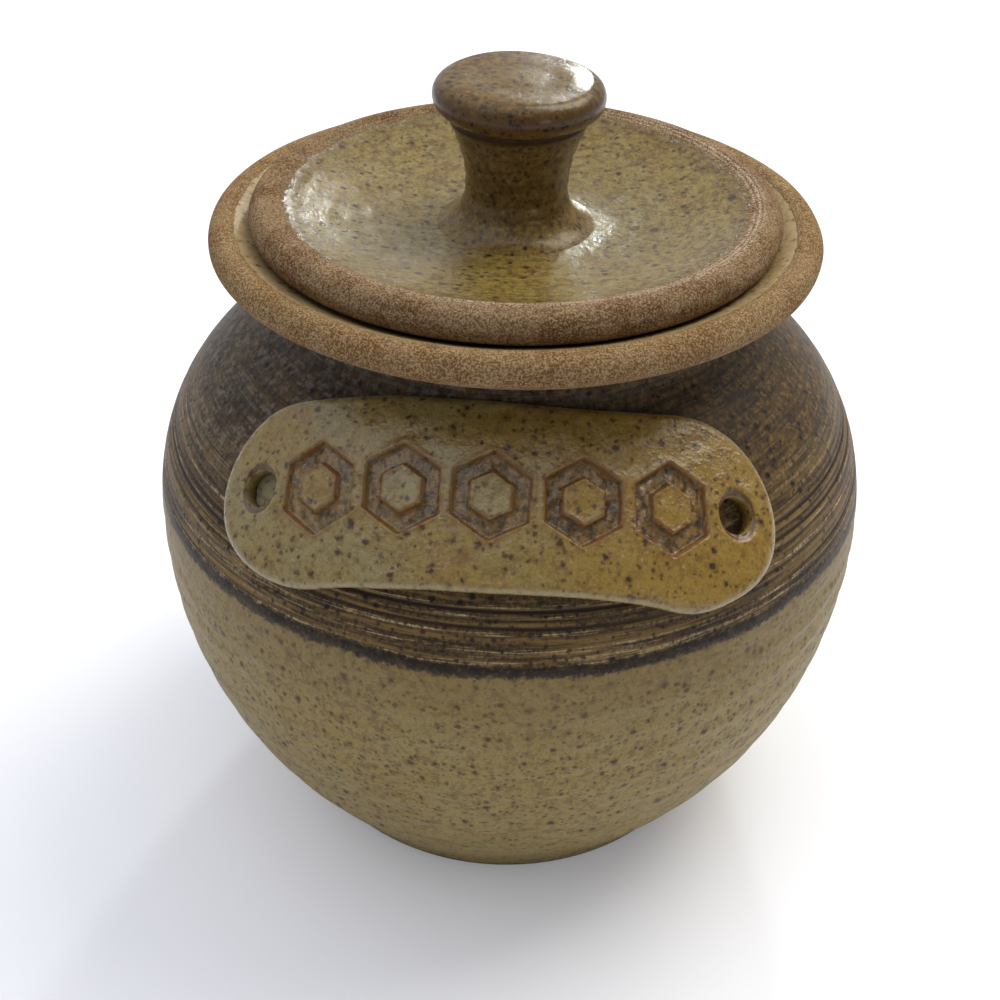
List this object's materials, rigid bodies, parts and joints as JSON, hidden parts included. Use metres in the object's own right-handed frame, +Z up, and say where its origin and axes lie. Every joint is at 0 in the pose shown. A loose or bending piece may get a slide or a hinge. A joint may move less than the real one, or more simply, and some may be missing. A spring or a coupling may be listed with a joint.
{
  "type": "honey pot",
  "caption": "Round thrown stoneware honey pot with a flanged mouth, a dished lift-off lid with a flared knob, and a pierced clay plaque on its shoulder.",
  "frame": {"origin": "middle of the flat foot, on the surface that the pot stands on", "axes": "+Z up along the axis of throwing, -Y towards the plaque, +X to the right of someone who faces the plaque"},
  "size_m": [0.1122, 0.1122, 0.122],
  "materials": {
    "pot_glaze": "satin speckled stoneware glaze with an iron slip shoulder",
    "plaque_glaze": "gloss speckled ash glaze",
    "lid_glaze": "gloss speckled ash glaze with a dry toasted rim",
    "knob_glaze": "gloss speckled ash glaze"
  },
  "bodies": {
    "pot": {"pot_body": "pot_glaze", "plaque": "plaque_glaze"},
    "lid": {"lid": "lid_glaze", "lid_knob": "knob_glaze"}
  },
  "joints": [
    {"name": "lid_lift", "type": "slide", "parent": "pot", "child": "lid", "axis": [0, 0, 1], "range_m": [0, 0.06]}
  ]
}
